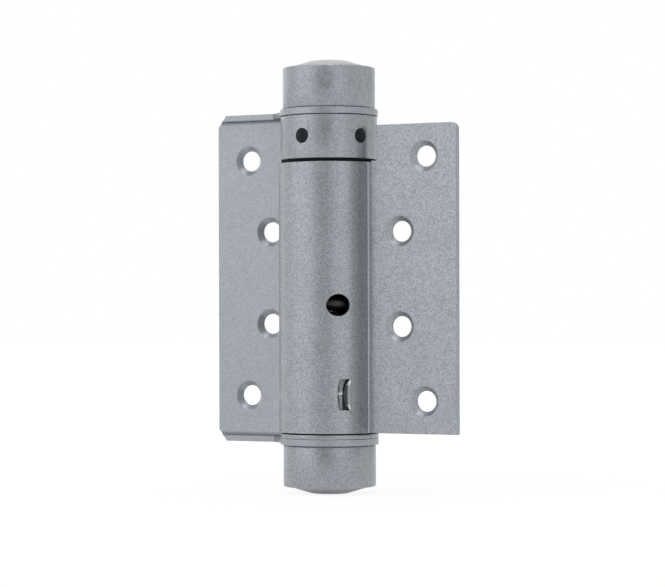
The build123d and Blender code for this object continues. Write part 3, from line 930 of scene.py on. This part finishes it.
# Spacer ring: black nylon, pressed on the spigot under the collar. It keeps the collar off the
# barrel and turns with it.
ring_foot = barrel_top + 0.00006
ring_radius = 0.0146
ring_edge = 0.0001
ring_bore = spigot_radius + 0.00001
ring_top = collar_foot - 0.00002
spacer_ring = turned(
    "spacer_ring",
    [
        (ring_bore, ring_foot),
        (ring_radius - ring_edge, ring_foot),
        (ring_radius, ring_foot + ring_edge),
        (ring_radius, ring_top - ring_edge),
        (ring_radius - ring_edge, ring_top),
        (ring_bore, ring_top),
    ],
)
bpy.ops.object.shade_smooth_by_angle(angle=radians(30))
black_nylon = bare_metal("black_nylon", (0.004, 0.004, 0.006, 1), (0.007, 0.007, 0.009, 1), 0.7)
black_nylon.node_tree.nodes["Principled BSDF"].inputs["Metallic"].default_value = 0.0
black_nylon.node_tree.nodes["Principled BSDF"].inputs["Specular IOR Level"].default_value = 0.1
spacer_ring.data.materials.append(black_nylon)
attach(spacer_ring, "collar")


# Thrust washer: a flat steel ring, pressed on the spindle over the lower ear, that carries
# the barrel. It is sprayed with the leaves.
washer_foot = -0.0490
washer_top = -0.0476
washer_radius = 0.01495
washer_bore = 0.00502
washer_edge = 0.0003
washer_round = 0.00008
thrust_washer = turned(
    "thrust_washer_ring",
    [
        (washer_bore, washer_foot),
        (washer_radius - washer_edge, washer_foot),
        (washer_radius - washer_round, washer_foot + washer_round),
        (washer_radius, washer_foot + washer_edge),
        (washer_radius, washer_top - washer_edge),
        (washer_radius - washer_round, washer_top - washer_round),
        (washer_radius - washer_edge, washer_top),
        (washer_bore, washer_top),
    ],
)
bpy.ops.object.shade_smooth_by_angle(angle=radians(50))
thrust_washer.data.materials.append(collar_lacquer)
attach(thrust_washer, "frame")
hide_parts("thrust_washer")


# Caps: drawn steel cups that stand mouth outwards on the ears, over the spindle nuts. Each is
# clamped by its floor, and sprayed like the leaves.
cap_radius = 0.0141
cap_foot = 0.0510
cap_top = 0.0638
cap_wall = 0.0015
cap_edge = 0.0005
cap_round = 0.00015
cap_inside = cap_radius - cap_wall
cap_floor = cap_foot + cap_wall
cap_outline = [
    (stub_bore, cap_foot),
    (cap_radius - cap_edge, cap_foot),
    (cap_radius - cap_round, cap_foot + cap_round),
    (cap_radius, cap_foot + cap_edge),
    (cap_radius, cap_top - cap_edge),
    (cap_radius - cap_round, cap_top - cap_round),
    (cap_radius - cap_edge, cap_top),
    (cap_inside, cap_top),
    (cap_inside, cap_floor + cap_edge),
    (cap_inside - cap_round, cap_floor + cap_round),
    (cap_inside - cap_edge, cap_floor),
    (stub_bore, cap_floor),
]
for side, end in ((1, "top"), (-1, "bottom")):
    cap = turned(end + "_cap_cup", [(radius, side * level) for radius, level in cap_outline])
    bpy.ops.object.shade_smooth_by_angle(angle=radians(50))
    cap.data.materials.append(collar_lacquer)
    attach(cap, "frame")
    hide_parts(end + "_cap")


# Plugs: pale nylon lids, one in the mouth of each cap. Each is moulded with a low cone that has
# a flat top, and a skirt that snaps into the cap.
plug_radius = cap_inside - 0.00002
plug_top = cap_top + 0.0021
plug_flat = 0.0056
plug_flat_round = 0.0003
plug_flat_drop = 0.0001
plug_edge = 0.0002
plug_proud = 0.00005
plug_wall = 0.0012
plug_skirt = 0.0025
plug_outline = [
    (0, plug_top),
    (plug_flat - plug_flat_round, plug_top),
    (plug_flat + plug_flat_round, plug_top - plug_flat_drop),
    (plug_radius - plug_edge, cap_top + plug_proud),
    (plug_radius, cap_top - plug_edge),
    (plug_radius, cap_top - plug_skirt),
    (plug_radius - plug_wall, cap_top - plug_skirt),
    (plug_radius - plug_wall, cap_top - plug_wall),
    (plug_flat, plug_top - plug_wall),
    (0, plug_top - plug_wall),
]
nylon = bpy.data.materials.new("pale_nylon")
nylon.use_nodes = True
nylon_nodes = nylon.node_tree.nodes
nylon_links = nylon.node_tree.links
nylon_skin = nylon_nodes["Principled BSDF"]
nylon_skin.inputs["Roughness"].default_value = 0.5
nylon_place = nylon_nodes.new("ShaderNodeTexCoord")
nylon_clouds = nylon_nodes.new("ShaderNodeTexNoise")
nylon_clouds.inputs["Scale"].default_value = 260
nylon_tone = nylon_nodes.new("ShaderNodeMix")
nylon_tone.data_type = "RGBA"
nylon_tone.inputs["A"].default_value = (0.50, 0.515, 0.53, 1)
nylon_tone.inputs["B"].default_value = (0.60, 0.615, 0.63, 1)
nylon_links.new(nylon_place.outputs["Object"], nylon_clouds.inputs["Vector"])
nylon_links.new(nylon_clouds.outputs["Fac"], nylon_tone.inputs["Factor"])
nylon_links.new(nylon_tone.outputs["Result"], nylon_skin.inputs["Base Color"])
for side, end in ((1, "top"), (-1, "bottom")):
    half_section = [(radius, side * level) for radius, level in plug_outline]
    plug = turned(end + "_plug_lid", half_section, closed=False)
    bpy.ops.object.shade_smooth_by_angle(angle=radians(40))
    plug.data.materials.append(nylon)
    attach(plug, "frame")
    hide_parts(end + "_plug")


# Anchor rim: the thin wall on top of the spring anchor, in the foot of the barrel. It is notched
# for the tongue, phosphated like the anchor, and shows behind the lance.
phosphated = bare_metal("phosphated_steel", (0.22, 0.225, 0.23, 1), (0.34, 0.345, 0.35, 1), 0.55)
rim_foot = -0.03575
rim_top = -0.0306
rim_outside = 0.0132
rim_inside = 0.0120
rim_edge = 0.0002
anchor_rim = turned(
    "anchor_rim",
    [
        (rim_inside, rim_foot),
        (rim_outside - rim_edge, rim_foot),
        (rim_outside, rim_foot + rim_edge),
        (rim_outside, rim_top - rim_edge),
        (rim_outside - rim_edge, rim_top),
        (rim_inside, rim_top),
    ],
)
# The notch, as degrees round the spindle and height from the middle of the lance
notch_corners = (
    (45.2, -0.001),
    (45.2, 0.0012),
    (46.4, 0.0028),
    (49.5, 0.0043),
    (52.5, 0.0056),
    (60, 0.0056),
    (60, -0.001),
)
rim_notch = [
    (across_at(radians(turn), rim_outside), lance_middle + rise) for turn, rise in notch_corners
]
notch_tool = cut_plate("rim_notch", rim_notch, punch_inside, punch_outside, upright=True)
turn_to_lance(notch_tool)
join_with(anchor_rim, notch_tool)
bpy.ops.object.shade_smooth_by_angle(angle=radians(30))

# Left of the lance's middle the steel gets painted shade, and one spot of it gets a painted highlight
rim_dark_from = -0.0008
rim_dark_to = -0.0012
rim_spot = from_spindle(radians(43.0), rim_outside, -0.0355)
rim_spot_edge = 0.0012
rim_spot_core = 0.0006
rim_nodes = phosphated.node_tree.nodes
rim_place = rim_nodes.new("ShaderNodeTexCoord")
rim_side = rim_nodes.new("ShaderNodeVectorMath")
rim_side.operation = "DOT_PRODUCT"
rim_side.inputs[1].default_value = from_spindle(lance_turn + pi / 2, 1)
rim_far = rim_nodes.new("ShaderNodeVectorMath")
rim_far.operation = "DISTANCE"
rim_far.inputs[1].default_value = rim_spot
for measure in (rim_side, rim_far):
    phosphated.node_tree.links.new(rim_place.outputs["Object"], measure.inputs[0])
rim_dark = ramp(phosphated, rim_side.outputs["Value"], rim_dark_from, rim_dark_to)
tint(phosphated, rim_dark, (0.07, 0.07, 0.075, 1))
rim_highlight = ramp(phosphated, rim_far.outputs["Value"], rim_spot_edge, rim_spot_core)
tint(phosphated, rim_highlight, (0.60, 0.61, 0.63, 1))
anchor_rim.data.materials.append(phosphated)
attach(anchor_rim, "door")


# Torsion spring and what holds it: the solids of the spring, spindle, nuts, washers, bushes and
# anchor stay, as little of them shows. The wire is oil-tempered, dark and slightly shiny.
oiled_wire = bare_metal("oiled_wire", (0.02, 0.02, 0.021, 1), (0.07, 0.068, 0.066, 1), 0.32)
zinc = bare_metal("zinc_plate", (0.42, 0.42, 0.40, 1), (0.60, 0.60, 0.57, 1), 0.35)
dark_nylon = bare_metal("dark_nylon", (0.025, 0.025, 0.027, 1), (0.04, 0.04, 0.043, 1), 0.6)
dark_nylon.node_tree.nodes["Principled BSDF"].inputs["Metallic"].default_value = 0.0
inside_finish = {
    "torsion_spring": oiled_wire,
    "spring_anchor": phosphated,
    "spindle": zinc,
    "top_nut": zinc,
    "bottom_nut": zinc,
    "top_lock_washer": zinc,
    "bottom_lock_washer": zinc,
    "collar_bush": dark_nylon,
    "anchor_bush": dark_nylon,
}
for name, finish in inside_finish.items():
    nodes[name].data.materials.clear()
    nodes[name].data.materials.append(finish)
